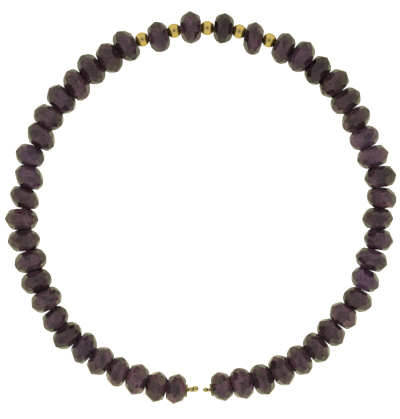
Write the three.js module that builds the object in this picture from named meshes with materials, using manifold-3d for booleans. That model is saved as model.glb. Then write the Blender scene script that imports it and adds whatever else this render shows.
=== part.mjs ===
// Open sapphire bangle: faceted sapphire beads and five gold balls threaded on one springy gold wire.
//
// Millimetres, +Z up. The bangle lies flat on the plane z = 0, around the Z axis, which is the wrist's
// axis. The gold balls are on the +Y side, and the wire's two ends nearly meet on the -Y side. Beads
// are counted along the thread, from the left end (-X) over the gold balls to the right end (+X).
import * as THREE from "three";
import { mergeVertices } from "three/addons/utils/BufferGeometryUtils.js";
import Module from "manifold-3d";

const wasm = await Module();
wasm.setup();

// The wire's route: nearly a circle, and slightly oval because the wire is sprung by hand.
const MEAN_RADIUS = 31.0;
const OVALITY = 0.39; // added to the radius on the long axis, and taken from it on the short one
const LONG_AXIS_DEG = 63;
const LEFT_TIP_DEG = 268.15; // where the end balls' centres lie round the Z axis
const RIGHT_TIP_DEG = -88.65;
const WIRE_HEIGHT = 2.6; // above the surface, and so the height of every bead's bore
const WIRE_RADIUS = 0.22;
const WIRE_STEPS = 72;
const WIRE_SIDES = 8;
const ROUTE_DIVISIONS = 720; // for measuring distances along the route

// What is soldered to the wire's ends.
const LEFT_BALL_RADIUS = 0.58;
const LEFT_BALL_OUTWARD = -0.2; // soldered on a little off the wire's line, towards the wrist
const RIGHT_BALL_RADIUS = 0.45;
const LEFT_NECK_RADIUS = 0.32; // the solder has run along the wire at this end
const LEFT_NECK_LENGTH = 0.9;
const NECK_SIDES = 12;
const END_BALL_SIDES = 14;
const END_BALL_ROWS = 8;

// The loose washers between the end balls and the last beads.
const WASHER_RADIUS = 1.05;
const WASHER_HOLE_RADIUS = 0.4;
const WASHER_THICKNESS = 0.34;
const WASHER_EDGE_ROUND = 0.1;
const WASHER_SIDES = 16;
const LEFT_WASHER_SEAT = { lean: 1, outward: 0.05 };
const RIGHT_WASHER_SEAT = { lean: -6, outward: 0 };

// The gold balls between the sapphires.
const GOLD_RADIUS = 1.25;
const GOLD_SIDES = 16;
const GOLD_ARC_STEPS = 8;

// The sapphires: rondelles, wider across than they are long along the thread.
const BLANK_WIDTH = 10; // of the square blank that a sapphire is cut from, and the drill's length
const BORE_RADIUS = 0.55;
const BORE_SIDES = 8;
const DRILL_OVERSHOOT = 0.6; // past a bead's end
const GIRDLE_RADIUS = 2.64; // from the bead's middle to the middle of a girdle facet
const GIRDLE_SPREAD = 0.08; // how much that varies from bead to bead, more or less
const END_FLAT_RADIUS = 1.35; // of the ends where neighbours meet, at the most
const TOUCH_GAP = 0.12; // between neighbours, where they come closest
const END_BEAD_TRIM = 0.15; // taken off the outer ends of the first and last beads
const FIRST_BEAD_AT = 3.19; // along the wire, from the left end ball's centre

// How far apart bead centres are along the thread, up to and including each bead number.
const THREAD_STEPS = [
  { upTo: 8, step: 3.55 },
  { upTo: 22, step: 3.68 },
  { upTo: 28, step: 2.865 },
  { upTo: 32, step: 2.69 },
  { upTo: 54, step: 3.6 },
];
const GOLD_BEADS = [23, 25, 27, 29, 31];
const JOINED_BEADS = 5; // next to each end, joined along their thread
const SLEEVE_RADIUS = 0.85; // the thread that joins them
const SLEEVE_SIDES = 12;
const SLEEVE_STEPS_PER_BEAD = 2;

// The rows of facets that are ground on each side of the girdle. A facet's slope is the angle from the
// girdle's plane to its normal, and its plane passes a point of the bead's profile: across is a share
// of the girdle's radius, and along a share of half the bead's thickness.
// A staggered row's facets lie halfway between its neighbours'.
const GIRDLE_ROW = { facets: 9, slope: 0, across: 1, along: 0, stagger: 0 };
const SHOULDER_ROW = { facets: 9, slope: 28, across: 1, along: 0.2, stagger: 0.5 };
const END_ROW = { facets: 6, slope: 50, across: 0.83, along: 0.63, stagger: 0 };

// Hand cutting: how much each facet's turn, slope and depth vary, how broad the girdle is left, and how
// far the bead's middle is from its bore.
const TURN_SPREAD_DEG = 4;
const SLOPE_SPREAD_DEG = 4;
const DEPTH_SPREAD = 0.06;
const BREADTH_SPREAD = 0.12; // of the shoulder row's along
const SKEW_SPREAD_DEG = 4;
const OFFSET_SPREAD = 0.16;
const FACET_SEED = 10; // the facets' numbers for spread start here, after the bead's own

// Stringing: how far a bead leans on the wire, how far its bore is off the wire's route, towards or
// away from the wrist, and how far it may drop until a facet rests on the surface.
const LEAN_SPREAD_DEG = 2.5;
const SEAT_SPREAD = 0.05;
const MOST_DROP = 0.1;

// How a bead stands out from the plain cut, where it does. lean turns the whole bead on the wire, and
// skew leans its girdle only; both are positive where the outer side is further along the thread.
// girdle is its own girdle radius. offset is how far its middle is beyond its bore, away from the wrist.
const ODD_BEADS = [
  { bead: 0, lean: 2, skew: 2, offset: 0 },
  { bead: 1, offset: 0.2 },
  { bead: 2, girdle: 2.74, offset: 0 },
  { bead: 3, skew: -6, girdle: 2.48, offset: 0.1 },
  { bead: 5, skew: -9, offset: 0 },
  { bead: 6, offset: 0.42 },
  { bead: 7, lean: -2, skew: -3, girdle: 2.36, offset: 0.25 },
  { bead: 8, offset: -0.2 },
  { bead: 10, girdle: 2.7, offset: -0.25 },
  { bead: 12, girdle: 2.76, offset: 0.15 },
  { bead: 13, lean: 4, skew: 12, girdle: 2.5, offset: -0.15 },
  { bead: 14, skew: 9, offset: -0.5 },
  { bead: 15, girdle: 2.46, offset: 0.3 },
  { bead: 16, lean: 3, skew: 9, offset: -0.25 },
  { bead: 18, girdle: 2.8, offset: 0.1 },
  { bead: 19, skew: 7, girdle: 2.72, offset: -0.38 },
  { bead: 20, girdle: 2.76, offset: -0.12 },
  { bead: 21, offset: -0.3 },
  { bead: 22, girdle: 2.74, offset: 0.05 },
  { bead: 24, offset: -0.5 },
  { bead: 28, girdle: 2.54, offset: 0.1 },
  { bead: 30, lean: -3, skew: -5, girdle: 2.72, offset: -0.55 },
  { bead: 32, offset: -0.3 },
  { bead: 33, girdle: 2.76, offset: 0.15 },
  { bead: 35, girdle: 2.8, offset: 0.25 },
  { bead: 36, girdle: 2.72, offset: -0.1 },
  { bead: 37, skew: -6, offset: -0.25 },
  { bead: 38, girdle: 2.5, offset: -0.42 },
  { bead: 39, girdle: 2.72, offset: 0 },
  { bead: 40, girdle: 2.72, offset: 0.42 },
  { bead: 41, lean: 3, skew: 7, girdle: 2.46, offset: 0.35 },
  { bead: 42, offset: -0.3 },
  { bead: 43, girdle: 2.52, offset: 0.35 },
  { bead: 44, girdle: 2.76, offset: 0 },
  { bead: 45, girdle: 2.46, offset: 0.1 },
  { bead: 46, girdle: 2.48, offset: 0.5 },
  { bead: 49, offset: 0.3 },
  { bead: 50, offset: 0.3 },
  { bead: 51, girdle: 2.76, offset: 0.1 },
  { bead: 52, offset: 0.25 },
  { bead: 53, girdle: 2.74, offset: -0.25 },
  { bead: 54, lean: -4, skew: -2, girdle: 2.48, offset: -0.35 },
];

const MERGE_DISTANCE = 1e-5; // between points that are one point of a solid

const SAPPHIRE = { color: 0x55404c, roughness: 0.18, metalness: 0 };
const GOLD = { color: 0xbfa861, roughness: 0.22, metalness: 1 };

const radians = THREE.MathUtils.degToRad;

// The wire's centreline between two angles round the Z axis.
class BangleRoute extends THREE.Curve {
  constructor(startDeg = LEFT_TIP_DEG, endDeg = RIGHT_TIP_DEG) {
    super();
    this.startDeg = startDeg;
    this.endDeg = endDeg;
    this.arcLengthDivisions = ROUTE_DIVISIONS;
  }

  getPoint(t, target = new THREE.Vector3()) {
    const degrees = THREE.MathUtils.lerp(this.startDeg, this.endDeg, t);
    const radius = MEAN_RADIUS + OVALITY * Math.cos(radians(2 * (degrees - LONG_AXIS_DEG)));
    const angle = radians(degrees);
    return target.set(radius * Math.cos(angle), radius * Math.sin(angle), WIRE_HEIGHT);
  }

  // The angle round the Z axis that lies this far along the route.
  degreesAt(distance) {
    const t = this.getUtoTmapping(0, distance);
    return THREE.MathUtils.lerp(this.startDeg, this.endDeg, t);
  }
}

const route = new BangleRoute();
const routeLength = route.getLength();

// A repeatable number from -1 to 1 for each pair of whole numbers: the usual sine hash, whose factors
// only need to be large and unrelated.
function spread(a, b) {
  const wave = Math.sin(a * 12.9898 + b * 78.233) * 43758.5453;
  return 2 * (wave - Math.floor(wave)) - 1;
}

function toSolid(geometry) {
  const bare = geometry.clone();
  bare.deleteAttribute("normal");
  bare.deleteAttribute("uv");
  const merged = mergeVertices(bare, MERGE_DISTANCE);
  const vertProperties = Float32Array.from(merged.attributes.position.array);
  const triVerts = Uint32Array.from(merged.index.array);
  return new wasm.Manifold(new wasm.Mesh({ numProp: 3, vertProperties, triVerts }));
}

function toGeometry(solid) {
  const { vertProperties, triVerts } = solid.getMesh();
  const geometry = new THREE.BufferGeometry();
  geometry.setAttribute("position", new THREE.BufferAttribute(vertProperties, 3));
  geometry.setIndex(new THREE.BufferAttribute(triVerts, 1));
  geometry.computeVertexNormals();
  return geometry;
}

function namedMesh(name, geometry, look) {
  const material = new THREE.MeshStandardMaterial({ ...look, flatShading: true });
  const mesh = new THREE.Mesh(geometry, material);
  mesh.name = name;
  return mesh;
}

// A round bar along X, centred on the origin.
function barAlongX(radius, length, sides) {
  return new THREE.CylinderGeometry(radius, radius, length, sides).rotateZ(Math.PI / 2);
}

// A round bar along a curve. An arc is sampled at twice its number of curve segments.
function barAlong(curve, radius, steps, sides) {
  const section = new THREE.Shape().absarc(0, 0, radius, 0, 2 * Math.PI);
  return new THREE.ExtrudeGeometry(section, {
    steps,
    curveSegments: sides / 2,
    bevelEnabled: false,
    extrudePath: curve,
  });
}

// Everything threaded on the wire is modelled at the origin, with +X along the thread and +Y away from
// the wrist. This puts it at a distance along the wire, leaning and off the route as stated.
function placeOnThread(object, distance, { lean = 0, outward = 0, drop = 0 } = {}) {
  const u = distance / routeLength;
  const tangent = route.getTangentAt(u);
  const offset = new THREE.Vector3(-outward * tangent.y, outward * tangent.x, -drop);
  object.position.copy(route.getPointAt(u)).add(offset);
  object.rotation.z = Math.atan2(tangent.y, tangent.x) - radians(lean);
  object.updateMatrix();
  return object;
}

// How a sapphire was cut and how it sits, the odd ones as listed and the rest by chance. rest is the
// depth of the facet that it rests on, and drop is how far the bead hangs below the wire's height.
function habitOf(n) {
  const habit = {
    lean: LEAN_SPREAD_DEG * spread(n, 1),
    skew: SKEW_SPREAD_DEG * spread(n, 2),
    girdle: GIRDLE_RADIUS + GIRDLE_SPREAD * spread(n, 3),
    outward: SEAT_SPREAD * spread(n, 4),
    breadth: BREADTH_SPREAD * spread(n, 5),
    offset: OFFSET_SPREAD * spread(n, 6),
    ...ODD_BEADS.find(({ bead }) => bead === n),
  };
  const rest = Math.min(habit.girdle, WIRE_HEIGHT);
  return { ...habit, rest, drop: Math.min(WIRE_HEIGHT - rest, MOST_DROP) };
}

// Half of a gold ball's length: the flats round its hole take a little off the sphere.
const GOLD_HALF_LENGTH = Math.sqrt(GOLD_RADIUS ** 2 - BORE_RADIUS ** 2);

// Every bead in order, with its distance along the wire and how much thread it fills on each side of
// that point. Neighbours turn to each other by the route's bend and by how they lean, so they come
// closest at the rim of their end flats, or of a gold ball's hole.
function beadsOnThread() {
  const beads = [];
  let distance = FIRST_BEAD_AT;
  for (let n = 0; n <= THREAD_STEPS.at(-1).upTo; n += 1) {
    if (n > 0) distance += THREAD_STEPS.find(({ upTo }) => n <= upTo).step;
    const gold = GOLD_BEADS.includes(n);
    const tangent = route.getTangentAt(distance / routeLength);
    const heading = Math.atan2(tangent.y, tangent.x) - (gold ? 0 : radians(habitOf(n).lean));
    beads.push({ n, distance, gold, heading });
  }
  const halfTowards = (bead, neighbour) => {
    if (bead.gold) return GOLD_HALF_LENGTH;
    const step = Math.abs(neighbour.distance - bead.distance);
    const bend = Math.abs(Math.sin(neighbour.heading - bead.heading));
    if (neighbour.gold) return step - GOLD_HALF_LENGTH - BORE_RADIUS * bend - TOUCH_GAP;
    return (step - END_FLAT_RADIUS * bend - TOUCH_GAP) / 2;
  };
  for (const [n, bead] of beads.entries()) {
    const previous = beads[n - 1];
    const next = beads[n + 1];
    bead.before = halfTowards(bead, previous ?? next) - (previous ? 0 : END_BEAD_TRIM);
    bead.after = halfTowards(bead, next ?? previous) - (next ? 0 : END_BEAD_TRIM);
  }
  return beads;
}

// The planes that a bead's facets are ground to, each with its normal pointing into the stone. The
// girdle's first facet is the one that the bead rests on, square to Z.
function facetPlanes({ n, before, after }) {
  const { skew, girdle, rest, breadth, offset } = habitOf(n);
  const middle = (after - before) / 2;
  const halfThickness = (after + before) / 2;
  const planes = [new THREE.Plane(new THREE.Vector3(0, 0, 1), rest)];
  const grind = (row, side, facet) => {
    const { facets, slope, across, along, stagger } = row;
    const seed = FACET_SEED + 3 * planes.length;
    const turn = radians((360 * (facet + stagger)) / facets + TURN_SPREAD_DEG * spread(n, seed));
    const tilt = radians(slope && slope + SLOPE_SPREAD_DEG * spread(n, seed + 1));
    const outward = Math.cos(tilt);
    const axial = side * Math.sin(tilt);
    const skewed = outward * Math.sin(turn) - axial * Math.tan(radians(skew));
    const broad = row === SHOULDER_ROW ? along + breadth : along;
    const depth =
      across * girdle * outward +
      axial * (middle + side * broad * halfThickness) +
      skewed * offset +
      DEPTH_SPREAD * spread(n, seed + 2);
    const normal = new THREE.Vector3(-axial, -skewed, outward * Math.cos(turn));
    planes.push(new THREE.Plane(normal, depth).normalize());
  };
  for (let facet = 1; facet < GIRDLE_ROW.facets; facet += 1) grind(GIRDLE_ROW, 0, facet);
  for (const row of [SHOULDER_ROW, END_ROW]) {
    for (const side of [-1, 1]) {
      for (let facet = 0; facet < row.facets; facet += 1) grind(row, side, facet);
    }
  }
  return planes;
}

// A sapphire before it is drilled: a square blank, as long as the thread that the bead fills, with
// every facet ground off it in turn. The matrix says where the bead is while it is cut.
function cutSapphire(bead, matrix = new THREE.Matrix4()) {
  const blank = new THREE.BoxGeometry(bead.before + bead.after, BLANK_WIDTH, BLANK_WIDTH);
  blank.translate((bead.after - bead.before) / 2, 0, 0).applyMatrix4(matrix);
  let solid = toSolid(blank);
  for (const plane of facetPlanes(bead)) {
    const { normal, constant } = plane.applyMatrix4(matrix);
    solid = solid.trimByPlane(normal.toArray(), -constant);
  }
  return solid;
}

function makeSapphire(bead) {
  const drill = toSolid(barAlongX(BORE_RADIUS, BLANK_WIDTH, BORE_SIDES));
  const geometry = toGeometry(cutSapphire(bead).subtract(drill));
  const name = `sapphire_${String(bead.n + 1).padStart(2, "0")}`;
  return placeOnThread(namedMesh(name, geometry, SAPPHIRE), bead.distance, habitOf(bead.n));
}

// Several sapphires joined by a sleeve round the wire, as one solid in the bangle's own frame.
function makeJoinedSapphires(name, beads) {
  const first = beads[0];
  const last = beads.at(-1);
  const sleeveRoute = new BangleRoute(
    route.degreesAt(first.distance),
    route.degreesAt(last.distance),
  );
  const drillRoute = new BangleRoute(
    route.degreesAt(first.distance - first.before - DRILL_OVERSHOOT),
    route.degreesAt(last.distance + last.after + DRILL_OVERSHOOT),
  );
  const steps = SLEEVE_STEPS_PER_BEAD * beads.length;
  let solid = toSolid(barAlong(sleeveRoute, SLEEVE_RADIUS, steps, SLEEVE_SIDES));
  for (const bead of beads) {
    const { matrix } = placeOnThread(new THREE.Object3D(), bead.distance, habitOf(bead.n));
    solid = solid.add(cutSapphire(bead, matrix));
  }
  solid = solid.subtract(toSolid(barAlong(drillRoute, BORE_RADIUS, steps, BORE_SIDES)));
  return namedMesh(name, toGeometry(solid), SAPPHIRE);
}

// A drilled ball, turned as one closed profile: the sphere's arc, and the bore's wall straight back.
function makeGoldBall(number, bead) {
  const holeAngle = Math.asin(BORE_RADIUS / GOLD_RADIUS);
  const profile = [];
  for (let i = 0; i <= GOLD_ARC_STEPS; i += 1) {
    const angle = THREE.MathUtils.lerp(Math.PI - holeAngle, holeAngle, i / GOLD_ARC_STEPS);
    profile.push(new THREE.Vector2(GOLD_RADIUS * Math.sin(angle), GOLD_RADIUS * Math.cos(angle)));
  }
  profile.push(profile[0].clone());
  const geometry = new THREE.LatheGeometry(profile, GOLD_SIDES).rotateZ(-Math.PI / 2);
  return placeOnThread(namedMesh(`gold_ball_${number}`, geometry, GOLD), bead.distance);
}

// A round-edged washer, turned as one closed profile.
function makeWasher(name, distance, seat) {
  const half = WASHER_THICKNESS / 2;
  const edge = WASHER_RADIUS - WASHER_EDGE_ROUND;
  const profile = [
    [WASHER_HOLE_RADIUS, -half],
    [edge, -half],
    [WASHER_RADIUS, -half + WASHER_EDGE_ROUND],
    [WASHER_RADIUS, half - WASHER_EDGE_ROUND],
    [edge, half],
    [WASHER_HOLE_RADIUS, half],
    [WASHER_HOLE_RADIUS, -half],
  ].map(([radius, along]) => new THREE.Vector2(radius, along));
  const geometry = new THREE.LatheGeometry(profile, WASHER_SIDES).rotateZ(-Math.PI / 2);
  return placeOnThread(namedMesh(name, geometry, GOLD), distance, seat);
}

// The wire with its two end balls and the solder on its left end, in one solid.
function makeCoreWire() {
  const placed = (geometry, distance, seat) => {
    const { matrix } = placeOnThread(new THREE.Object3D(), distance, seat);
    return toSolid(geometry.applyMatrix4(matrix));
  };
  const ball = (radius) => new THREE.SphereGeometry(radius, END_BALL_SIDES, END_BALL_ROWS);
  const neck = barAlongX(LEFT_NECK_RADIUS, LEFT_NECK_LENGTH, NECK_SIDES);
  const solid = toSolid(barAlong(route, WIRE_RADIUS, WIRE_STEPS, WIRE_SIDES))
    .add(placed(neck, LEFT_NECK_LENGTH / 2))
    .add(placed(ball(LEFT_BALL_RADIUS), 0, { outward: LEFT_BALL_OUTWARD }))
    .add(placed(ball(RIGHT_BALL_RADIUS), routeLength));
  return namedMesh("core_wire", toGeometry(solid), GOLD);
}

const bangle = new THREE.Group();
bangle.name = "sapphire_bangle";
bangle.add(makeCoreWire());

const beads = beadsOnThread();
const washerRoom = TOUCH_GAP + WASHER_THICKNESS / 2;
const leftWasherAt = beads[0].distance - beads[0].before - washerRoom;
const rightWasherAt = beads.at(-1).distance + beads.at(-1).after + washerRoom;
bangle.add(makeWasher("end_washer_left", leftWasherAt, LEFT_WASHER_SEAT));
bangle.add(makeWasher("end_washer_right", rightWasherAt, RIGHT_WASHER_SEAT));

beads
  .filter(({ gold }) => gold)
  .forEach((bead, i) => bangle.add(makeGoldBall(i + 1, bead)));

const sapphires = beads.filter(({ gold }) => !gold);
const single = sapphires.slice(JOINED_BEADS, -JOINED_BEADS);
single.forEach((bead) => bangle.add(makeSapphire(bead)));
bangle.add(makeJoinedSapphires("sapphires_left_end", sapphires.slice(0, JOINED_BEADS)));
bangle.add(makeJoinedSapphires("sapphires_right_end", sapphires.slice(-JOINED_BEADS)));

export default bangle;
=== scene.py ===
# %% [markdown]
# # An open bangle of faceted sapphires
#
# The bracelet is a string of fifty dark sapphire rondelles on one springy gold wire. Five small gold
# balls sit between the sapphires at the middle, and each end of the wire has a loose washer and a
# soldered ball. This lesson makes it piece by piece: the stones are cut as a lapidary cuts them,
# facet by facet, and the washers and the end balls are turned as on a lathe.
#
# The first cell loads the engineering model. It is the frame that everything else fits into.

# %% Load the frame
import math

import bmesh
import bpy
from mathutils import Matrix, Vector


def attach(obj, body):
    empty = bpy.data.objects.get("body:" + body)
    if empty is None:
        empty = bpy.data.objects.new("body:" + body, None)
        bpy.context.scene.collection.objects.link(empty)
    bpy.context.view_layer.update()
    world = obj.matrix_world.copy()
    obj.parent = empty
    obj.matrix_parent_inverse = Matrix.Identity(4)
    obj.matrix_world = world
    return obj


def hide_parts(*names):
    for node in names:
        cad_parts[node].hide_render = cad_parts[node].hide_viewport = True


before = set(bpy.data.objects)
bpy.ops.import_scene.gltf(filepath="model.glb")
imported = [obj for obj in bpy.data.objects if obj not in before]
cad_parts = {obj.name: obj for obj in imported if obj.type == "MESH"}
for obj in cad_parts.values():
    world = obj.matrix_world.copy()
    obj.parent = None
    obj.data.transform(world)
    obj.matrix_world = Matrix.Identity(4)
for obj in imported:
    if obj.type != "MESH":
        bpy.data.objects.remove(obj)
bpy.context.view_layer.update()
MM = 0.001  # everything is worked out in millimetres and ends in metres

# %% [markdown]
# ## Where each bead sits
#
# The wire is nearly a circle, a little oval because it was sprung by hand. A bead's place is a
# distance along that wire. The distances are measured on a fine chain of points, because an oval's
# arc length has no simple formula, and `locate` turns a distance into a point and a direction.

# %% The wire's route
MEAN_RADIUS = 31.0
OVALITY = 0.39
LONG_AXIS = math.radians(63)
LEFT_TIP = math.radians(268.15)
RIGHT_TIP = math.radians(-88.65)
WIRE_HEIGHT = 2.6
ROUTE_STEPS = 720
HEADING_STEP = 1e-4  # how far to each side of a point its heading is read, in radians


def route_radius(angle):
    return MEAN_RADIUS + OVALITY * math.cos(2 * (angle - LONG_AXIS))


def route_point(angle):
    radius = route_radius(angle)
    return Vector((radius * math.cos(angle), radius * math.sin(angle), WIRE_HEIGHT))


sweep = RIGHT_TIP - LEFT_TIP
route_angles = [LEFT_TIP + sweep * i / ROUTE_STEPS for i in range(ROUTE_STEPS + 1)]
route_lengths = [0.0]
for before, after in zip(route_angles, route_angles[1:]):
    chord = (route_point(after) - route_point(before)).length
    route_lengths.append(route_lengths[-1] + chord)
ROUTE_LENGTH = route_lengths[-1]


def locate(distance):
    """The point on the wire at this distance from its left tip, and the wire's heading there."""
    i = next(i for i in range(1, ROUTE_STEPS + 1) if route_lengths[i] >= distance or i == ROUTE_STEPS)
    share = (distance - route_lengths[i - 1]) / (route_lengths[i] - route_lengths[i - 1])
    angle = route_angles[i - 1] + (route_angles[i] - route_angles[i - 1]) * share
    ahead = route_point(angle - HEADING_STEP) - route_point(angle + HEADING_STEP)
    return route_point(angle), math.atan2(ahead.y, ahead.x)


print(f"wire length {ROUTE_LENGTH:.1f} mm")

# %% [markdown]
# ## How each bead was cut and strung
#
# No two hand-cut beads match. They could all be drawn by chance, but then the outline and the colours
# would be those of some other bracelet. So a table says where a bead differs from the usual one, and
# most beads do in something. For all that it leaves out, a repeatable number from -1 to 1 stands for
# chance. `habit` gathers both for one bead.
#
# - lean is how far it is turned on the wire, and skew how far its girdle leans, in degrees
# - girdle is its radius, and offset how far its middle is from its bore, in millimetres
# - breadth is added to the width of its girdle's band, as a share of half the bead's length
# - outward is how far it slid away from the wrist, in millimetres
# - purple goes from -1 for a brown stone to 1 for a purple one, and light is added to its brightness

# %% Chance, and the odd beads
GIRDLE_RADIUS = 2.64
BEAD_COUNT = 55
GOLD_PLACES = (23, 25, 27, 29, 31)  # beads are counted from 0, at the wire's left end
LARGEST_DROP = 0.1  # the most that a small bead sinks towards the table, in millimetres
A_RATE, B_RATE, WAVE_HEIGHT = 12.9898, 78.233, 43758.5453  # uneven, so that no pattern shows
# about is the usual value, stray the most that chance adds or takes, and draw which of the bead's
# numbers of chance is used.
USUAL_BEAD = {
    "lean": {"about": 0, "stray": 2.5, "draw": 1},
    "skew": {"about": 0, "stray": 4, "draw": 2},
    "girdle": {"about": GIRDLE_RADIUS, "stray": 0.08, "draw": 3},
    "outward": {"about": 0, "stray": 0.05, "draw": 4},
    "breadth": {"about": 0, "stray": 0.12, "draw": 5},
    "offset": {"about": 0, "stray": 0.16, "draw": 6},
    "purple": {"about": 0, "stray": 0.35, "draw": 95},
    "light": {"about": 0, "stray": 0.15, "draw": 96},
}
ODD_BEADS = {
    0: {"lean": 2, "skew": 2, "offset": 0, "purple": 0, "light": 0.5},
    1: {"offset": 0.2, "purple": -0.5, "light": 0.3},
    2: {"girdle": 2.74, "offset": 0, "purple": -0.4, "light": 0.5},
    3: {"skew": -6, "girdle": 2.48, "offset": 0.1, "purple": 0, "light": 0.2},
    5: {"skew": -9, "offset": 0, "purple": 0.8, "light": -0.2},
    6: {"offset": 0.42, "purple": -0.1, "light": -0.15},
    7: {"lean": -2, "skew": -3, "girdle": 2.36, "offset": 0.25, "purple": -0.1, "light": 0},
    8: {"offset": -0.2},
    9: {"purple": -0.5, "light": -0.1},
    10: {"girdle": 2.7, "offset": -0.25},
    11: {"purple": -0.2, "light": -0.05},
    12: {"girdle": 2.76, "offset": 0.15, "purple": -0.4, "light": 0.2},
    13: {"lean": 4, "skew": 12, "girdle": 2.5, "offset": -0.15, "purple": -1, "light": -0.1},
    14: {"skew": 9, "offset": -0.5, "purple": 0.6, "light": 0.2},
    15: {"girdle": 2.46, "offset": 0.3, "purple": 1, "light": 0.1},
    16: {"lean": 3, "skew": 9, "offset": -0.25},
    18: {"girdle": 2.8, "offset": 0.1, "purple": 0.6, "light": -0.1},
    19: {"skew": 7, "girdle": 2.72, "offset": -0.38, "purple": 0.1, "light": 0.2},
    20: {"girdle": 2.76, "offset": -0.12, "purple": -0.3, "light": -0.15},
    21: {"offset": -0.3, "purple": -1, "light": -0.15},
    22: {"girdle": 2.74, "offset": 0.05, "purple": -0.3, "light": -0.1},
    24: {"offset": -0.5, "purple": 0.3, "light": 0},
    26: {"purple": 0.3, "light": 0.2},
    28: {"girdle": 2.54, "offset": 0.1, "purple": -1, "light": -0.6},
    30: {"lean": -3, "skew": -5, "girdle": 2.72, "offset": -0.55},
    32: {"offset": -0.3},
    33: {"girdle": 2.76, "offset": 0.15, "purple": 0.7, "light": 0},
    34: {"purple": -1, "light": -0.6},
    35: {"girdle": 2.8, "offset": 0.25, "purple": -0.6, "light": -0.1},
    36: {"girdle": 2.72, "offset": -0.1, "purple": 0, "light": -0.25},
    37: {"skew": -6, "offset": -0.25},
    38: {"girdle": 2.5, "offset": -0.42, "purple": 0.6, "light": 0.5},
    39: {"girdle": 2.72, "offset": 0, "purple": 0.6, "light": 0.3},
    40: {"girdle": 2.72, "offset": 0.42},
    41: {"lean": 3, "skew": 7, "girdle": 2.46, "offset": 0.35, "purple": 0.3, "light": 0.2},
    42: {"offset": -0.3},
    43: {"girdle": 2.52, "offset": 0.35, "purple": 0.5, "light": 0.3},
    44: {"girdle": 2.76, "offset": 0, "purple": 0.6, "light": 0},
    45: {"girdle": 2.46, "offset": 0.1, "purple": 1, "light": 0.35},
    46: {"girdle": 2.48, "offset": 0.5, "purple": -0.7, "light": -0.1},
    47: {"purple": 0.1, "light": 0.3},
    48: {"purple": -0.3, "light": -0.1},
    49: {"offset": 0.3},
    50: {"offset": 0.3, "purple": 0.1, "light": 0.3},
    51: {"girdle": 2.76, "offset": 0.1, "purple": -0.5, "light": 0},
    52: {"offset": 0.25, "purple": 0, "light": 0.2},
    53: {"girdle": 2.74, "offset": -0.25, "purple": -0.3, "light": 0.5},
    54: {"lean": -4, "skew": -2, "girdle": 2.48, "offset": -0.35, "purple": -0.7, "light": 0.3},
}


def spread(a, b):
    """A number from -1 to 1 that looks like chance, and is always the same for a and b."""
    wave = math.sin(a * A_RATE + b * B_RATE) * WAVE_HEIGHT
    return 2 * (wave - math.floor(wave)) - 1


def habit(n):
    """All that is special about bead n.

    rest is how far its lowest facet is below its bore, and drop is how far the bead sinks towards
    the table.
    """
    found = {
        key: row["about"] + row["stray"] * spread(n, row["draw"]) for key, row in USUAL_BEAD.items()
    }
    found.update(ODD_BEADS.get(n, {}))
    found["rest"] = min(found["girdle"], WIRE_HEIGHT)
    found["drop"] = min(WIRE_HEIGHT - found["rest"], LARGEST_DROP)
    return found


widths = [2 * habit(n)["girdle"] for n in range(BEAD_COUNT) if n not in GOLD_PLACES]
print(len(ODD_BEADS), f"beads have a row, and all are {min(widths):.2f} to {max(widths):.2f} mm wide")

# %% [markdown]
# ## Spacing along the thread
#
# Neighbours turn to each other, because the wire bends and each bead leans, so they come closest at
# the rim of their end flats. Half of what is left of the step between two beads is how long each one
# is on that side. The beads of a finished bracelet touch, so only a hair is left between them here.

# %% Lengths of the beads
TOUCH_GAP = 0.01
END_FLAT_RADIUS = 1.25
GOLD_RADIUS = 1.25
GOLD_BORE_RADIUS = 0.55
GOLD_HALF_LENGTH = math.sqrt(GOLD_RADIUS**2 - GOLD_BORE_RADIUS**2)
END_BEAD_TRIMS = {-1: 0.32, 1: 0.24}  # how much shorter the first and last bead are at their free ends
FIRST_BEAD_AT = 3.19
JOINT_TILT = {"about": 6.0, "stray": 2.0, "draw": 7}  # degrees that a joint is off square
JOINT_SIDE_DRAW = 8  # the draw of chance for the side that a joint tilts to
THREAD_STEPS = (
    {"up_to": 8, "step": 3.55},
    {"up_to": 22, "step": 3.68},
    {"up_to": 28, "step": 2.865},
    {"up_to": 32, "step": 2.69},
    {"up_to": 54, "step": 3.6},
)


def thread_beads():
    beads, distance = [], FIRST_BEAD_AT
    for n in range(BEAD_COUNT):
        if n:
            distance += next(row["step"] for row in THREAD_STEPS if n <= row["up_to"])
        gold = n in GOLD_PLACES
        _, heading = locate(distance)
        heading -= 0 if gold else math.radians(habit(n)["lean"])
        beads.append({"n": n, "distance": distance, "gold": gold, "heading": heading})
    for n, bead in enumerate(beads):
        for side, step in (("before", -1), ("after", 1)):
            at_end = not 0 <= n + step < BEAD_COUNT
            neighbour = beads[n - step if at_end else n + step]
            bead[side] = half_length(bead, neighbour) - (END_BEAD_TRIMS[step] if at_end else 0)
    return beads


def half_length(bead, neighbour):
    if bead["gold"]:
        return GOLD_HALF_LENGTH
    step = abs(neighbour["distance"] - bead["distance"])
    bend = abs(math.sin(neighbour["heading"] - bead["heading"]))
    if neighbour["gold"]:
        return step - GOLD_HALF_LENGTH - GOLD_BORE_RADIUS * bend - TOUCH_GAP
    return (step - END_FLAT_RADIUS * bend - TOUCH_GAP) / 2


def end_tilt(n):
    """How far the joint between bead n and the next is from square, seen from the side."""
    tilt = JOINT_TILT["about"] + JOINT_TILT["stray"] * spread(n, JOINT_TILT["draw"])
    return math.radians(math.copysign(tilt, spread(n, JOINT_SIDE_DRAW)))


beads = thread_beads()
sapphires = [bead for bead in beads if not bead["gold"]]
lengths = [bead["before"] + bead["after"] for bead in sapphires]
print(f"{len(sapphires)} sapphires, {min(lengths):.2f} to {max(lengths):.2f} mm long")
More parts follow.
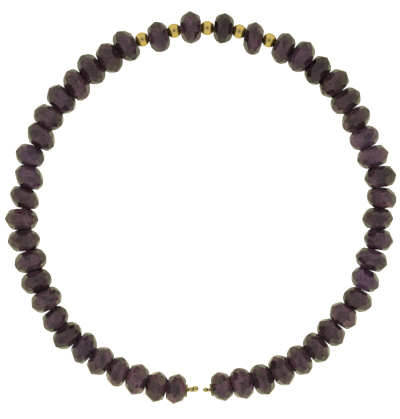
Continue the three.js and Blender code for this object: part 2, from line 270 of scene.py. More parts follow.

# %% [markdown]
# ## Helpers for a finished piece
#
# Everything on the thread is modelled at the origin in millimetres, with X along the thread and Y
# away from the wrist. `thread_matrix` says where it goes. The matrix is worked into the mesh, so the
# object itself stays at the origin, unturned.
#
# A stone's clouds and bands were in the rough before it was cut, and they are turned differently in
# each bead. So each mesh carries an attribute called grain: its points in millimetres, turned and
# moved by an amount of its own. A second attribute, tone, holds how purple and how light a piece is,
# and how light each of its facets is. That facet lightness is partly the stone's own tone and partly
# a painted reflection, for facets that mirror more or less of the tent.

# %% Put a mesh on the thread
def thread_matrix(distance, lean=0.0, outward=0.0, drop=0.0):
    point, heading = locate(distance)
    side = Vector((-math.sin(heading), math.cos(heading), 0))
    place = Matrix.Translation(point + outward * side - Vector((0, 0, drop)))
    return place @ Matrix.Rotation(heading - math.radians(lean), 4, "Z")


def mark_grain(bm, turn=Matrix(), tone=(0.0, 0.0)):
    """Writes the grain and tone attributes on every vertex, from where it is now."""
    grain = bm.verts.layers.float_vector.new("grain")
    own_tone = bm.verts.layers.float_vector.new("tone")
    for vert in bm.verts:
        vert[grain] = turn @ vert.co
        vert[own_tone] = Vector((*tone, 0))


def finished_piece(name, bm, matrix, materials, slot, *nodes, levels=0, facets=()):
    """Sets a piece in place, in metres, and hides the CAD nodes that it stands for.

    facets are the faces of a cut stone, which are shaded flat. All other faces are shaded smooth.
    """
    for face in bm.faces:
        face.smooth = face not in facets
    bmesh.ops.transform(bm, matrix=Matrix.Scale(MM, 4) @ matrix, verts=bm.verts)
    bmesh.ops.recalc_face_normals(bm, faces=bm.faces)
    mesh = bpy.data.meshes.new(name)
    bm.to_mesh(mesh)
    bm.free()
    piece = bpy.data.objects.new(name, mesh)
    for material in materials:
        mesh.materials.append(material)
    bpy.context.scene.collection.objects.link(piece)
    if levels:
        rounding = piece.modifiers.new("rounding", "SUBSURF")
        rounding.levels = rounding.render_levels = levels
    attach(piece, "root")
    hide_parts(*nodes)


print("first bead goes to", tuple(thread_matrix(beads[0]["distance"]).translation))

# %% [markdown]
# ## Node helpers for the materials
#
# Colours are written as sRGB hex, as a colour picker shows them, and Blender's sockets want linear
# light, so one function converts them. Another adds a node of any kind with its settings and links,
# and gives back the output that the next node needs.

# %% Colours and nodes
SMOOTH_RANGE = {"interpolation_type": "SMOOTHSTEP"}
OF_COLOURS = {"data_type": "RGBA"}
TIMES, MINUS, PLUS = ({"operation": name} for name in ("MULTIPLY", "SUBTRACT", "ADD"))


def hex_colour(code):
    """An sRGB hex colour as linear red, green and blue, and an alpha of 1."""

    def linear(value):
        return value / 12.92 if value <= 0.04045 else ((value + 0.055) / 1.055) ** 2.4

    return tuple(linear(int(code[i : i + 2], 16) / 255) for i in (1, 3, 5)) + (1.0,)


def add_node(tree, kind, output, settings=(), **inputs):
    """Adds a node, and gives its output of this name.

    settings are the node's own properties. Each other argument is an input, by its name with _ for
    a space, or by i and its number, and holds a value or the socket that feeds it.
    """
    node = tree.nodes.new("ShaderNode" + kind)
    for key, value in dict(settings).items():
        setattr(node, key, value)
    for key, value in inputs.items():
        if key[0] == "i" and key[1:].isdigit():
            socket = node.inputs[int(key[1:])]
        else:
            name = key.replace("_", " ")
            socket = next(socket for socket in node.inputs if socket.name == name and socket.enabled)
        if isinstance(value, bpy.types.NodeSocket):
            tree.links.new(value, socket)
        else:
            socket.default_value = value
    return next(socket for socket in node.outputs if socket.name == output and socket.enabled)


def new_material(name):
    material = bpy.data.materials.new(name)
    material.use_nodes = True
    return material, material.node_tree, material.node_tree.nodes["Principled BSDF"]


print("middle grey is", round(hex_colour("#808080")[0], 3), "in linear light")

# %% [markdown]
# ## Sapphire: corundum, hand polished
#
# These beads are cut from dark, mixed rough. The body is a deep plum, nearly black where the stone
# is thick, with brownish clouds, faint straight growth bands, small dark specks and a few pale
# flecks. The dark specks are partly inclusions and partly a painted reflection of the dark hole in
# the light tent overhead. A glass shader with a coloured volume would be the truest, but the colour
# is so deep that little light comes back out, so a plain surface shader stands for it and renders
# without noise.
#
# Each pattern below is a layer: where its value passes a range, its colour takes over. Most values
# of a noise lie between 0.35 and 0.65, so the range says how much of the stone a layer covers.

# %% The stone's own colour
PLUM_DEEP, PLUM = "#38262e", "#4f3340"
CLOUD_BROWN, CLOUD_PURPLE = "#3f2a21", "#392346"
FLECK_PALE, SILK = "#7c6576", "#625d66"
CLOUDS_PER_MM = 0.6  # clouds under 2 mm across
BROWN_PER_MM = 0.3
MOTTLES_PER_MM = 3.2  # real silk is hundredths of a millimetre, too fine to show, so this is coarser
BANDS_PER_MM = 1.6
SPECKS_PER_MM = 0.7
FLECKS_PER_MM = 0.45
WAVE_TEXTURE_RATE = 20 / math.tau  # bands per unit that a Wave Texture draws at a scale of 1
PURPLE_LESS_BROWN = 0.16  # how much a purple stone's brown clouds shrink


def corundum_colour(tree):
    """The colour of the stone's body, and the fine mottling that its polish follows."""
    grain = add_node(tree, "Attribute", "Vector", {"attribute_name": "grain"})
    tone = add_node(tree, "Attribute", "Vector", {"attribute_name": "tone"})
    purple = add_node(tree, "SeparateXYZ", "X", Vector=tone)
    light = add_node(tree, "SeparateXYZ", "Y", Vector=tone)
    facet = add_node(tree, "SeparateXYZ", "Z", Vector=tone)

    clouds = add_node(
        tree, "TexNoise", "Fac", Vector=grain, Scale=CLOUDS_PER_MM, Detail=1.0, Distortion=0.5
    )
    brown = add_node(
        tree, "TexNoise", "Fac", Vector=grain, Scale=BROWN_PER_MM, Detail=0.5, Distortion=0.8
    )
    less = add_node(tree, "Math", "Value", TIMES, i0=purple, i1=PURPLE_LESS_BROWN)
    brown = add_node(tree, "Math", "Value", MINUS, i0=brown, i1=less)
    mottle = add_node(tree, "TexNoise", "Fac", Vector=grain, Scale=MOTTLES_PER_MM, Detail=2.0)
    bands = add_node(
        tree, "TexWave", "Fac",
        Vector=grain, Scale=BANDS_PER_MM / WAVE_TEXTURE_RATE, Distortion=1.5, Detail=2.0,
    )
    # dark specks: partly inclusions, partly a painted reflection of the tent's dark hole
    specks = add_node(tree, "TexVoronoi", "Distance", Vector=grain, Scale=SPECKS_PER_MM)
    flecks = add_node(tree, "TexVoronoi", "Distance", Vector=grain, Scale=FLECKS_PER_MM)

    body = hex_colour(PLUM_DEEP)
    for layer in (
        {"of": clouds, "from": 0.36, "to": 0.6, "least": 0, "most": 1, "colour": PLUM},
        {"of": brown, "from": 0.46, "to": 0.72, "least": 0, "most": 0.5, "colour": CLOUD_BROWN},
        {"of": purple, "from": 0.1, "to": 1, "least": 0, "most": 0.45, "colour": CLOUD_PURPLE},
        {"of": flecks, "from": 0.02, "to": 0.07, "least": 0.7, "most": 0, "colour": FLECK_PALE},
        {"of": mottle, "from": 0.4, "to": 0.7, "least": 0, "most": 0.12, "colour": SILK},
    ):
        share = add_node(
            tree, "MapRange", "Result", SMOOTH_RANGE, Value=layer["of"],
            From_Min=layer["from"], From_Max=layer["to"], To_Min=layer["least"], To_Max=layer["most"],
        )
        colour = hex_colour(layer["colour"])
        body = add_node(tree, "Mix", "Result", OF_COLOURS, Factor=share, A=body, B=colour)

    shade = add_node(tree, "Math", "Value", PLUS, i0=light, i1=1.0)
    for layer in (
        {"of": mottle, "from": 0.32, "to": 0.62, "least": 0.84, "most": 1.1},
        {"of": bands, "from": 0, "to": 1, "least": 0.88, "most": 1.1},
        # the specks darken the colour: partly inclusions, partly a painted reflection of the tent's
        # hole
        {"of": specks, "from": 0.12, "to": 0.26, "least": 0.2, "most": 1},
        # each facet's lightness: partly the stone's own tone, partly a painted reflection
        {"of": facet, "from": -1, "to": 1, "least": 0.55, "most": 1.4},
    ):
        share = add_node(
            tree, "MapRange", "Result", SMOOTH_RANGE, Value=layer["of"],
            From_Min=layer["from"], From_Max=layer["to"], To_Min=layer["least"], To_Max=layer["most"],
        )
        shade = add_node(tree, "Math", "Value", TIMES, i0=shade, i1=share)
    shaded = add_node(tree, "VectorMath", "Vector", {"operation": "SCALE"}, Vector=body, Scale=shade)
    return shaded, mottle


print("body from", PLUM_DEEP, "to", PLUM, "with", CLOUD_BROWN, "and", CLOUD_PURPLE, "clouds")

# %% [markdown]
# ## Polished facets and ground ends
#
# What the eye mostly sees is the polish. Sapphire bends light strongly, with an IOR of 1.77, so the
# facets that face sideways mirror the warm table and look olive grey beside the plum of the top. This
# rough is full of fine cracks and never takes the full mirror of clear sapphire, so the gloss is
# turned down. The bored hole and the flat ends are only ground. They get the same body with a pale
# frost and a rough surface, which keeps the joints between the beads dark.

# %% Two finishes of one stone
CORUNDUM_IOR = 1.77
GROUND_PALE = "#8c8488"
FACET_SHEEN_TINT = (1.0, 0.86, 0.85, 1.0)  # light that goes in just under the polish comes back plum


def new_corundum(name, smoothest, roughest, gloss, waviness_mm, frost):
    """The stone with one finish: frost is how much of its body the pale scratches cover."""
    material, tree, shader = new_material(name)
    body, mottle = corundum_colour(tree)
    pale = hex_colour(GROUND_PALE)
    colour = add_node(tree, "Mix", "Result", OF_COLOURS, Factor=frost, A=body, B=pale)
    rough = add_node(tree, "MapRange", "Result", Value=mottle, To_Min=smoothest, To_Max=roughest)
    waves = add_node(tree, "Bump", "Normal", Strength=1.0, Distance=waviness_mm * MM, Height=mottle)
    tree.links.new(colour, shader.inputs["Base Color"])
    tree.links.new(rough, shader.inputs["Roughness"])
    tree.links.new(waves, shader.inputs["Normal"])
    shader.inputs["IOR"].default_value = CORUNDUM_IOR
    shader.inputs["Specular IOR Level"].default_value = gloss
    shader.inputs["Specular Tint"].default_value = FACET_SHEEN_TINT
    return material


corundum_polished = new_corundum(
    "corundum_polished", smoothest=0.04, roughest=0.1, gloss=0.24, waviness_mm=0.004, frost=0.0
)
corundum_ground = new_corundum(
    "corundum_ground", smoothest=0.55, roughest=0.75, gloss=0.1, waviness_mm=0.01, frost=0.35
)
print("stone materials:", corundum_polished.name, corundum_ground.name)

# %% [markdown]
# ## Gold: polished balls, drawn wire, solder and dark washers
#
# Polished gold has almost no look of its own. It mirrors the light above it and the dark stones
# beside it, tinted yellow, so its base colour is the tint and its roughness is low. Handling leaves
# fine scratches, and the roughness changes a little from place to place. Wire is drawn through a die,
# which leaves long fine lines, and it's duller. The solder of the end balls is paler, with patches of
# tarnish, and the two washers are a darker, browner metal.
#
# All four are one recipe with other numbers, so one function makes them.

# %% The gold finishes
WEAR_PER_MM = 1.1
SCRATCHES_PER_MM = 14.0  # real hairlines are finer than this and wouldn't show
ALONG_THE_DRAW = (0.06, 1.0, 1.0)  # stretches the scratches along the grain
MOST_WEAR = {"From_Min": 0.3, "From_Max": 0.7}  # nearly all values of the wear's noise lie in this


def new_gold(name, bright, dull, smoothest, roughest, scratch_mm, tarnish_per_mm):
    """A yellow metal, with patches of its dull colour and scratches of this depth."""
    material, tree, shader = new_material(name)
    grain = add_node(tree, "Attribute", "Vector", {"attribute_name": "grain"})
    drawn = add_node(tree, "Mapping", "Vector", Vector=grain, Scale=ALONG_THE_DRAW)
    wear = add_node(tree, "TexNoise", "Fac", Vector=grain, Scale=WEAR_PER_MM, Detail=4.0)
    tarnish = add_node(tree, "TexNoise", "Fac", Vector=grain, Scale=tarnish_per_mm, Detail=2.0)
    scratches = add_node(tree, "TexNoise", "Fac", Vector=drawn, Scale=SCRATCHES_PER_MM, Detail=3.0)
    colour = add_node(
        tree, "Mix", "Result", OF_COLOURS, Factor=tarnish, A=hex_colour(bright), B=hex_colour(dull)
    )
    rough = add_node(
        tree, "MapRange", "Result", Value=wear, **MOST_WEAR, To_Min=smoothest, To_Max=roughest
    )
    lines = add_node(
        tree, "Bump", "Normal", Strength=1.0, Distance=scratch_mm * MM, Height=scratches
    )
    tree.links.new(colour, shader.inputs["Base Color"])
    tree.links.new(rough, shader.inputs["Roughness"])
    tree.links.new(lines, shader.inputs["Normal"])
    shader.inputs["Metallic"].default_value = 1.0
    return material


gold_polished = new_gold(
    "gold_polished", bright="#d8bf6e", dull="#c8ac60",
    smoothest=0.17, roughest=0.28, scratch_mm=0.0004, tarnish_per_mm=0.5,
)
gold_drawn = new_gold(
    "gold_drawn", bright="#705c32", dull="#4e3f22",
    smoothest=0.16, roughest=0.3, scratch_mm=0.002, tarnish_per_mm=0.5,
)
gold_solder = new_gold(
    "gold_solder_polished", bright="#dacd90", dull="#94874a",
    smoothest=0.05, roughest=0.16, scratch_mm=0.0006, tarnish_per_mm=1.6,
)
washer_metal = new_gold(
    "washer_dark_metal", bright="#948a54", dull="#6c5a2e",
    smoothest=0.2, roughest=0.36, scratch_mm=0.001, tarnish_per_mm=0.8,
)
print("metals:", gold_polished.name, gold_drawn.name, gold_solder.name, washer_metal.name)

# %% [markdown]
# ## Cutting a sapphire: where each grind goes
#
# A lapidary grinds a rondelle from a square blank: first the facets of the girdle, then a row of
# shoulder facets on each side, then a row next to each end. A sphere with few segments would give
# facets too, but all alike and in rings, and a hand-cut bead has crooked ones that meet off centre.
# So each facet is a plane with an angle and a depth of its own. The first facet faces down, because
# the bead rests on it.

# %% The planes of the facets
BLANK_WIDTH = 10.0
# slope is in degrees from the girdle's own facets. A facet's plane passes a point of the profile:
# across is a share of the girdle's radius, and along one of half the bead's length. stagger turns the
# row by that share of a facet.
GIRDLE_ROW = {"facets": 9, "slope": 0, "across": 1, "along": 0, "stagger": 0}
SHOULDER_ROW = {"facets": 9, "slope": 28, "across": 1, "along": 0.2, "stagger": 0.5}
END_ROW = {"facets": 6, "slope": 50, "across": 0.83, "along": 0.63, "stagger": 0}
FACET_DRAW = 10  # the first draw of chance that is used for facets
DRAWS_A_FACET = 3
TURN_SPREAD = math.radians(4)
SLOPE_SPREAD = math.radians(4)
DEPTH_SPREAD = 0.06


def facet_planes(bead):
    """Each facet as its outward normal and its distance from the bead's origin, in grinding order."""
    n, own = bead["n"], habit(bead["n"])
    middle = (bead["after"] - bead["before"]) / 2
    half = (bead["after"] + bead["before"]) / 2
    planes, ends = [(Vector((0, 0, -1)), own["rest"])], []
    for side, reach, tilt in ((-1, bead["before"], end_tilt(n - 1)), (1, bead["after"], end_tilt(n))):
        normal = Vector((side * math.cos(tilt), 0, side * math.sin(tilt)))
        ends.append((normal, reach * math.cos(tilt)))

    def grind(row, side, facet):
        draw = FACET_DRAW + DRAWS_A_FACET * len(planes)
        turn = math.tau * (facet + row["stagger"]) / row["facets"] + TURN_SPREAD * spread(n, draw)
        slope = math.radians(row["slope"])
        slope += SLOPE_SPREAD * spread(n, draw + 1) if row["slope"] else 0
        outward, axial = math.cos(slope), side * math.sin(slope)
        skewed = outward * math.sin(turn) - axial * math.tan(math.radians(own["skew"]))
        along = row["along"] + (own["breadth"] if row is SHOULDER_ROW else 0)
        depth = row["across"] * own["girdle"] * outward + axial * (middle + side * along * half)
        depth += skewed * own["offset"] + DEPTH_SPREAD * spread(n, draw + 2)
        normal = Vector((axial, skewed, -outward * math.cos(turn)))
        planes.append((normal.normalized(), depth / normal.length))

    for facet in range(1, GIRDLE_ROW["facets"]):
        grind(GIRDLE_ROW, 0, facet)
    for row in (SHOULDER_ROW, END_ROW):
        for side in (-1, 1):
            for facet in range(row["facets"]):
                grind(row, side, facet)
    return ends + planes


print("a stone has", len(facet_planes(sapphires[0])), "planes, with its two ends")

# %% [markdown]
# ## Grinding and rounding
#
# Each plane becomes a cut with bisect_plane, which clears the stone outside it and leaves a hole that
# is filled at once. Where many planes meet they leave slivers, shorter than a polisher would leave.
# So points that are very near each other are merged, convex_hull stretches a clean skin over the
# rest, and dissolve_limit joins its triangles to whole facets. A small bevel on every edge stands for
# the softening of polish and wear, and catches a thin line of light.

# %% Grind one stone
SHORT_EDGE = 0.24
SAME_POINT = 1e-5
EDGE_ROUND = 0.08
NEARLY_FLAT = math.radians(3)


def all_of(bm):
    return bm.verts[:] + bm.edges[:] + bm.faces[:]


def ground_stone(bead):
    """A closed stone without its bore, and the faces that are its facets."""
    bm = bmesh.new()
    bmesh.ops.create_cube(bm, size=1)
    bmesh.ops.scale(bm, vec=(BLANK_WIDTH, BLANK_WIDTH, BLANK_WIDTH), verts=bm.verts)
    for normal, depth in facet_planes(bead):
        cut = bmesh.ops.bisect_plane(
            bm, geom=all_of(bm), dist=SAME_POINT, plane_co=normal * depth, plane_no=normal,
            clear_outer=True,
        )
        rim = [part for part in cut["geom_cut"] if isinstance(part, bmesh.types.BMEdge)]
        if len(rim) > 2:
            bmesh.ops.edgeloop_fill(bm, edges=rim)
    bmesh.ops.remove_doubles(bm, verts=bm.verts, dist=SHORT_EDGE)
    bmesh.ops.delete(bm, geom=bm.edges[:] + bm.faces[:], context="EDGES_FACES")
    bmesh.ops.convex_hull(bm, input=bm.verts)
    bmesh.ops.dissolve_limit(bm, angle_limit=NEARLY_FLAT, verts=bm.verts, edges=bm.edges)
    bm.normal_update()
    rounded = bmesh.ops.bevel(
        bm, geom=bm.edges[:], offset=EDGE_ROUND, segments=2, profile=0.5, affect="EDGES",
        material=-1, clamp_overlap=True,
    )["faces"]
    return bm, set(bm.faces) - set(rounded)


bm, facets = ground_stone(sapphires[0])
print("the first stone has", len(facets), "facets and", len(bm.faces), "faces with its rounded edges")
bm.free()

# %% [markdown]
# ## Drilling
#
# The bore could be a Boolean, but fifty of them are slow and leave thin triangles. Here the flat at
# each end is taken off, triangle_fill closes the space between its rim and a circle, and bridge_loops
# joins the two circles. The new faces take the ground finish.

# %% Drill one stone
BORE_RADIUS = 0.4
BORE_SIDES = 20
FACES_AN_END = 0.97  # a face is at the end if its normal is this much along the thread
POLISHED, GROUND = 0, 1


def drill(bm, bead):
    """Bores a stone from end to end, and gives each face its finish."""
    polished = set(bm.faces)
    rings = []
    for x in (-bead["before"], bead["after"]):
        bm.normal_update()
        ends = [face for face in bm.faces if face.normal.x * x > FACES_AN_END * abs(x)]
        flat = max(ends, key=lambda face: face.calc_area())
        rim, outward = flat.edges[:], flat.normal.copy()
        bmesh.ops.delete(bm, geom=[flat], context="FACES_ONLY")
        facing = outward.to_track_quat("Z", "Y").to_matrix().to_4x4()
        mouth = bmesh.ops.create_circle(
            bm, segments=BORE_SIDES, radius=BORE_RADIUS, matrix=Matrix.Translation((x, 0, 0)) @ facing
        )
        ring = list(dict.fromkeys(edge for vert in mouth["verts"] for edge in vert.link_edges))
        bmesh.ops.triangle_fill(bm, edges=rim + ring, use_beauty=True, normal=outward)
        rings += ring
    bmesh.ops.bridge_loops(bm, edges=rings)
    for face in bm.faces:
        face.material_index = POLISHED if face in polished else GROUND


print("bores of", 2 * BORE_RADIUS, "mm")

# %% [markdown]
# ## Stringing the sapphires
#
# Fifty stones are cut one by one and set on the wire. Each one stands for its own solid of the frame.
# The five next to each end are one solid there, so five pieces stand for the same node.
#
# Through each facet the eye looks into another part of the stone, and some facets mirror more light
# than others. So neighbouring facets of real rough differ in lightness, and each facet is given a
# lightness of its own in the stone's colour: partly its own tone, and partly a painted reflection of
# the tent. A texture alone would run on over the facets' edges.

# %% Cut and string the sapphires
JOINED = 5
# the draws for each facet's lightness, which is partly a painted reflection
FACET_TONE_AND_REFLECTION_DRAW = 200  # past every draw of chance that the facets' planes take
GRAIN_AXIS_DRAWS, GRAIN_TURN_DRAW = (91, 92, 93), 94
GRAIN_ROOM = 20  # millimetres between the grain of one bead and the next, so that no two match


def cad_node_of(bead):
    if bead["n"] < JOINED:
        return "sapphires_left_end"
    if bead["n"] >= BEAD_COUNT - JOINED:
        return "sapphires_right_end"
    return f"sapphire_{bead['n'] + 1:02d}"


def grain_turn(n):
    """How the grain of piece n is turned and moved, so that it isn't like any other's."""
    axis = Vector([spread(n, draw) for draw in GRAIN_AXIS_DRAWS]).normalized()
    turn = Matrix.Rotation(math.pi * spread(n, GRAIN_TURN_DRAW), 4, axis)
    return Matrix.Translation((GRAIN_ROOM * n, 0, 0)) @ turn


def facet_tone_and_painted_reflection(bm, n, facets):
    """Writes how light each facet is, as the third number of tone, on the facet's own corners.

    That lightness is partly the stone's own tone and partly a painted reflection.
    """
    tone = bm.verts.layers.float_vector["tone"]
    for i, face in enumerate(bm.faces):
        for vert in face.verts if face in facets else ():
            vert[tone] = Vector((*vert[tone].xy, spread(n, FACET_TONE_AND_REFLECTION_DRAW + i)))


for bead in sapphires:
    n, own = bead["n"], habit(bead["n"])
    place = thread_matrix(bead["distance"], own["lean"], own["outward"], own["drop"])
    bm, facets = ground_stone(bead)
    drill(bm, bead)
    facets = {face for face in facets if face.is_valid}  # the drill took the two end flats away
    mark_grain(bm, grain_turn(n), (own["purple"], own["light"]))
    facet_tone_and_painted_reflection(bm, n, facets)
    finished_piece(
        f"sapphire_bead_{n + 1:02d}", bm, place, (corundum_polished, corundum_ground), "sapphire",
        cad_node_of(bead), facets=facets,
    )
print(len(sapphires), "sapphires cut")

# %% [markdown]
# ## Gold balls
#
# A seamless bead is a thin tube pressed into a ball, so it's hollow, and its mouths are rolled edges.
# A solid sphere would look right from the side, but a mouth shows wherever the bead beside it leans
# away. So a sphere is cut off at both mouths, the wall gets its thickness with solidify, and a bevel
# rolls the edges.

# %% Five hollow balls
BALL_WALL = 0.12
BALL_SEGMENTS, BALL_RINGS = 64, 36
LIP_ROUND = 0.04
SQUARE_CORNER = math.radians(40)  # the least angle of an edge that gets rolled


def roll_corners(bm, width):
    """Rounds the sharp edges of a turned shape."""
    joined = [edge for edge in bm.edges if len(edge.link_faces) == 2]
    corners = [edge for edge in joined if edge.calc_face_angle(0) > SQUARE_CORNER]
    bmesh.ops.bevel(
        bm, geom=corners, offset=width, segments=3, profile=0.5, affect="EDGES", material=-1
    )


def hollow_ball():
    bm = bmesh.new()
    bmesh.ops.create_uvsphere(
        bm, u_segments=BALL_SEGMENTS, v_segments=BALL_RINGS, radius=GOLD_RADIUS
    )
    bmesh.ops.rotate(bm, matrix=Matrix.Rotation(math.pi / 2, 3, "Y"), verts=bm.verts)
    for side in (-1, 1):
        bmesh.ops.bisect_plane(
            bm, geom=all_of(bm), dist=SAME_POINT, clear_outer=True,
            plane_co=(side * GOLD_HALF_LENGTH, 0, 0), plane_no=(side, 0, 0),
        )
    bmesh.ops.recalc_face_normals(bm, faces=bm.faces)
    bmesh.ops.solidify(bm, geom=bm.faces[:], thickness=BALL_WALL)
    roll_corners(bm, LIP_ROUND)
    return bm


for number, n in enumerate(GOLD_PLACES, 1):
    bm = hollow_ball()
    mark_grain(bm, grain_turn(n))
    finished_piece(
        f"gold_ball_hollow_{number}", bm, thread_matrix(beads[n]["distance"]), [gold_polished], "gold",
        f"gold_ball_{number}",
    )
print(len(GOLD_PLACES), "gold balls of", 2 * GOLD_RADIUS, "mm")

# %% [markdown]
# ## The wire
#
# The wire is one length of springy drawn gold, which the beads hide but for a hair here and there. A
# curve with a round bevel would do as well. A spun circle is used because it is one exact operator:
# it is swept round the middle of the bracelet, and then each point is pushed in or out to make the
# slight oval.

# %% Draw the wire
WIRE_RADIUS = 0.22
WIRE_SIDES = 16
WIRE_STEPS = 288


def drawn_wire():
    bm = bmesh.new()
    start = Matrix.Rotation(LEFT_TIP, 4, "Z") @ Matrix.Translation((MEAN_RADIUS, 0, WIRE_HEIGHT))
    facing = Matrix.Rotation(math.pi / 2, 4, "X")
    bmesh.ops.create_circle(
        bm, segments=WIRE_SIDES, radius=WIRE_RADIUS, cap_ends=True, matrix=start @ facing
    )
    bmesh.ops.spin(
        bm, geom=all_of(bm), cent=(0, 0, 0), axis=(0, 0, 1), angle=RIGHT_TIP - LEFT_TIP,
        steps=WIRE_STEPS, use_merge=False,
    )
    for vert in bm.verts:
        angle = math.atan2(vert.co.y, vert.co.x)
        push = route_radius(angle) - MEAN_RADIUS
        vert.co += push * Vector((math.cos(angle), math.sin(angle), 0))
    return bm


bm = drawn_wire()
mark_grain(bm)
finished_piece("drawn_wire", bm, Matrix(), [gold_drawn], "gold", "core_wire")
print("wire of", 2 * WIRE_RADIUS, "mm, bent in", WIRE_STEPS, "steps")

# %% [markdown]
# ## The washers at the ends
#
# A small flat washer lies against the last sapphire on each end, loose on the wire. It could be cut
# from a cylinder, but a rectangle spun on the lathe makes the hole and the disc at once, and the same
# lathe makes the end balls below. A bevel rounds its four corners, as tumbling does.

# %% Two washers
WASHER_RADIUS = 1.1
WASHER_HOLE = 0.4
WASHER_THICKNESS = 0.44
WASHER_ROUND = 0.1
WASHER_GAP = 0.01
LATHE_STEPS = 24
WASHERS = (
    {"end": "left", "side": -1, "bead": 0, "lean": 1.0, "outward": 0.12},
    {"end": "right", "side": 1, "bead": BEAD_COUNT - 1, "lean": -6.0, "outward": 0.0},
)


def lathe(profile, closed):
    """Spins a chain of points, each as its place along the thread and its distance from it."""
    bm = bmesh.new()
    points = [bm.verts.new((along, 0, radius)) for along, radius in profile]
    for a, b in zip(points, points[1:] + points[:1] if closed else points[1:]):
        bm.edges.new((a, b))
    bmesh.ops.spin(
        bm, geom=bm.verts[:] + bm.edges[:], cent=(0, 0, 0), axis=(1, 0, 0), angle=math.tau,
        steps=LATHE_STEPS, use_merge=True,
    )
    bmesh.ops.remove_doubles(bm, verts=bm.verts, dist=SAME_POINT)
    return bm


def washer_middle(washer):
    """Where on the wire this washer's middle is."""
    bead, side = beads[washer["bead"]], washer["side"]
    reach = bead["before" if side < 0 else "after"] + WASHER_GAP + WASHER_THICKNESS / 2
    return bead["distance"] + side * reach


for washer in WASHERS:
    half = WASHER_THICKNESS / 2
    corners = [(-half, WASHER_HOLE), (half, WASHER_HOLE), (half, WASHER_RADIUS), (-half, WASHER_RADIUS)]
    bm = lathe(corners, closed=True)
    bmesh.ops.recalc_face_normals(bm, faces=bm.faces)
    roll_corners(bm, WASHER_ROUND)
    mark_grain(bm, grain_turn(washer["side"]))
    place = thread_matrix(washer_middle(washer), washer["lean"], washer["outward"])
    end = washer["end"]
    finished_piece(f"washer_{end}", bm, place, [washer_metal], "gold", f"end_washer_{end}")
    print(end, "washer", 2 * WASHER_RADIUS, "mm across")

# %% [markdown]
# ## The balls at the ends
#
# Each end of the wire is melted and soldered into a ball, with a short thick neck of solder that ends
# at the washer. The left ball is larger and sits a little towards the wrist. Two spheres and a
# cylinder would meet in hard creases, and molten metal has none. So a ball and its neck are one
# profile turned on the lathe, and a Subdivision Surface rounds it. The neck is then slanted, so that
# its far end is nearly in line with the wire.

# %% Melt the ends into balls
ROUND_LEVELS = 2
BALL_POINTS = 7
NECK_GAP = 0.05
NECK_SLANT = 0.75  # how much of the ball's offset is gone where the neck meets the washer
WAIST_SHARE = 0.6  # the neck is this much thinner where it meets the ball
WAIST_ROOM = 0.04
NECK_FULL_FROM = 0.4  # the neck has its whole width from this share of its length
END_BALLS = (
    {"at": 0.0, "radius": 0.58, "neck": 0.42, "outward": -0.29},
    {"at": ROUTE_LENGTH, "radius": 0.46, "neck": 0.34, "outward": -0.08},
)


def ball_with_neck(side, ball, neck_length):
    """A ball at the origin, with its neck on the side of the thread."""
    radius, neck = ball["radius"], ball["neck"]
    waist = WAIST_SHARE * neck
    first = math.asin(waist / radius)
    turns = [first + (math.pi - first) * i / BALL_POINTS for i in range(1, BALL_POINTS + 1)]
    profile = [(radius + neck_length, 0), (radius + neck_length, neck)]
    profile += [(radius + NECK_FULL_FROM * neck_length, neck)]
    profile += [(radius * math.cos(first) + WAIST_ROOM, waist)]
    profile += [(radius * math.cos(turn), radius * max(math.sin(turn), 0)) for turn in turns]
    bm = lathe([(-side * along, around) for along, around in profile], closed=False)
    for vert in bm.verts:
        along_neck = (-side * vert.co.x - radius) / neck_length
        vert.co.y += ball["outward"] * (1 - NECK_SLANT * min(max(along_neck, 0), 1))
    return bm


for washer, ball in zip(WASHERS, END_BALLS):
    to_washer = abs(ball["at"] - washer_middle(washer)) - WASHER_THICKNESS / 2 - NECK_GAP
    bm = ball_with_neck(washer["side"], ball, to_washer - ball["radius"])
    mark_grain(bm, grain_turn(washer["side"]))
    finished_piece(
        f"end_ball_{washer['end']}", bm, thread_matrix(ball["at"]), [gold_solder], "gold", "core_wire",
        levels=ROUND_LEVELS,
    )
    print(washer["end"], "ball", 2 * ball["radius"], "mm across")

# %% [markdown]
# ## The light tent
#
# Small glossy things are shown in a white tent, so that they mirror an even white and not the room.
# It has a hole at the top to look in through, and gold mirrors the hole as a soft dark spot on each
# ball. Lamps and a dome of cloth could be modelled, but the world's own colour does the same without
# noise. It depends only on the direction: bright and a little warm near the table, weaker overhead,
# and darkest round the hole.

# %% Light tent
CLOTH_LOW, CLOTH_HIGH = 1.15, 0.85
HOLE_DARK = 0.25
LOW_CLOTH = {"From_Min": 0.05, "From_Max": 0.7}  # heights of a direction, 0 level and 1 straight up
ROUND_THE_HOLE = {"From_Min": 0.85, "From_Max": 0.985}
COOL_WHITE, WARM_WHITE = (1, 1, 1, 1), (1, 0.98, 0.87, 1)

bpy.context.scene.view_settings.view_transform = "Standard"
world = bpy.data.worlds.new("light_tent")
bpy.context.scene.world = world
world.use_nodes = True
tree, backdrop = world.node_tree, world.node_tree.nodes["Background"]
direction = add_node(tree, "TexCoord", "Generated")
height = add_node(tree, "SeparateXYZ", "Z", Vector=direction)
cloth = add_node(
    tree, "MapRange", "Result", SMOOTH_RANGE,
    Value=height, **LOW_CLOTH, To_Min=CLOTH_LOW, To_Max=CLOTH_HIGH,
)
hole = add_node(
    tree, "MapRange", "Result", SMOOTH_RANGE,
    Value=height, **ROUND_THE_HOLE, To_Min=1.0, To_Max=HOLE_DARK,
)
coolness = add_node(tree, "MapRange", "Result", SMOOTH_RANGE, Value=height, **LOW_CLOTH)
tint = add_node(tree, "Mix", "Result", OF_COLOURS, Factor=coolness, A=WARM_WHITE, B=COOL_WHITE)
tree.links.new(add_node(tree, "Math", "Value", TIMES, i0=cloth, i1=hole), backdrop.inputs["Strength"])
tree.links.new(tint, backdrop.inputs["Color"])
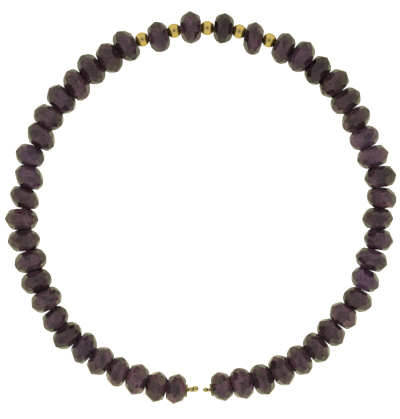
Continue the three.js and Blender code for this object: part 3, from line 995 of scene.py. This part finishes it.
print("tent of brightness", CLOTH_LOW, "at the table and", CLOTH_HIGH, "overhead")

# %% [markdown]
# ## The table
#
# The table is plain and pale, and so bright that it shows no edge and no shadow. The sides of the
# stones mirror it, and a table that bright would wash them out: in a real tent it is brightest behind
# the bracelet's outline, and duller and warmer close under it. So its glow has two colours. Light
# Path tells what is seen directly from what is mirrored, and the mirrored table is a warm grey that
# gets weaker towards the back. Only the table does this, and the bracelet's own materials don't.

# %% Table
TABLE_HALF_WIDTH = 4.0  # metres, so that no edge shows from low down
TABLE_BASE = (0.2, 0.2, 0.2, 1)
TABLE_SEEN = (1.1, 1.1, 1.1, 1)
TABLE_MIRRORED = (0.85, 0.86, 0.48)
TOWARDS_THE_BACK = {"From_Min": -0.03, "From_Max": 0.045, "To_Min": 1.1, "To_Max": 0.66}

bm = bmesh.new()
bmesh.ops.create_grid(bm, x_segments=1, y_segments=1, size=TABLE_HALF_WIDTH)
table_mesh = bpy.data.meshes.new("table")
bm.to_mesh(table_mesh)
bm.free()
table = bpy.data.objects.new("table", table_mesh)
table_material, tree, shader = new_material("table_white_acrylic")
shader.inputs["Base Color"].default_value = TABLE_BASE
depth = add_node(tree, "SeparateXYZ", "Y", Vector=add_node(tree, "TexCoord", "Object"))
falloff = add_node(tree, "MapRange", "Result", Value=depth, **TOWARDS_THE_BACK)
mirrored = add_node(
    tree, "VectorMath", "Vector", {"operation": "SCALE"}, Vector=TABLE_MIRRORED, Scale=falloff
)
seen = add_node(tree, "LightPath", "Is Camera Ray")
glow = add_node(tree, "Mix", "Result", OF_COLOURS, Factor=seen, A=mirrored, B=TABLE_SEEN)
tree.links.new(glow, shader.inputs["Emission Color"])
shader.inputs["Emission Strength"].default_value = 1.0
table_mesh.materials.append(table_material)
bpy.context.scene.collection.objects.link(table)
print("table", 2 * TABLE_HALF_WIDTH, "m wide")

# %% [markdown]
# ## The camera
#
# The bracelet lies flat and is seen from straight above. From very near, the stones would lean
# outwards, and from far away nothing of their sides would show, so the camera hangs 60 cm up. The
# lens follows from how much has to fit in the view at the height of the beads' middles.

# %% Camera
CAMERA_HEIGHT = 0.6  # this and the next three are in metres
BEAD_MIDDLE = 0.0025
VIEW_HALF_HEIGHT = 0.03612
VIEW_MIDDLE = (-0.00022, -0.00004)
SENSOR = 36  # in millimetres, as the lens is

camera_data = bpy.data.cameras.new("camera")
camera = bpy.data.objects.new("camera", camera_data)
bpy.context.scene.collection.objects.link(camera)
camera_data.sensor_width = SENSOR
camera_data.lens = SENSOR / 2 * (CAMERA_HEIGHT - BEAD_MIDDLE) / VIEW_HALF_HEIGHT
camera.location = (*VIEW_MIDDLE, CAMERA_HEIGHT)
bpy.context.scene.camera = camera
print(f"lens of {camera_data.lens:.0f} mm")
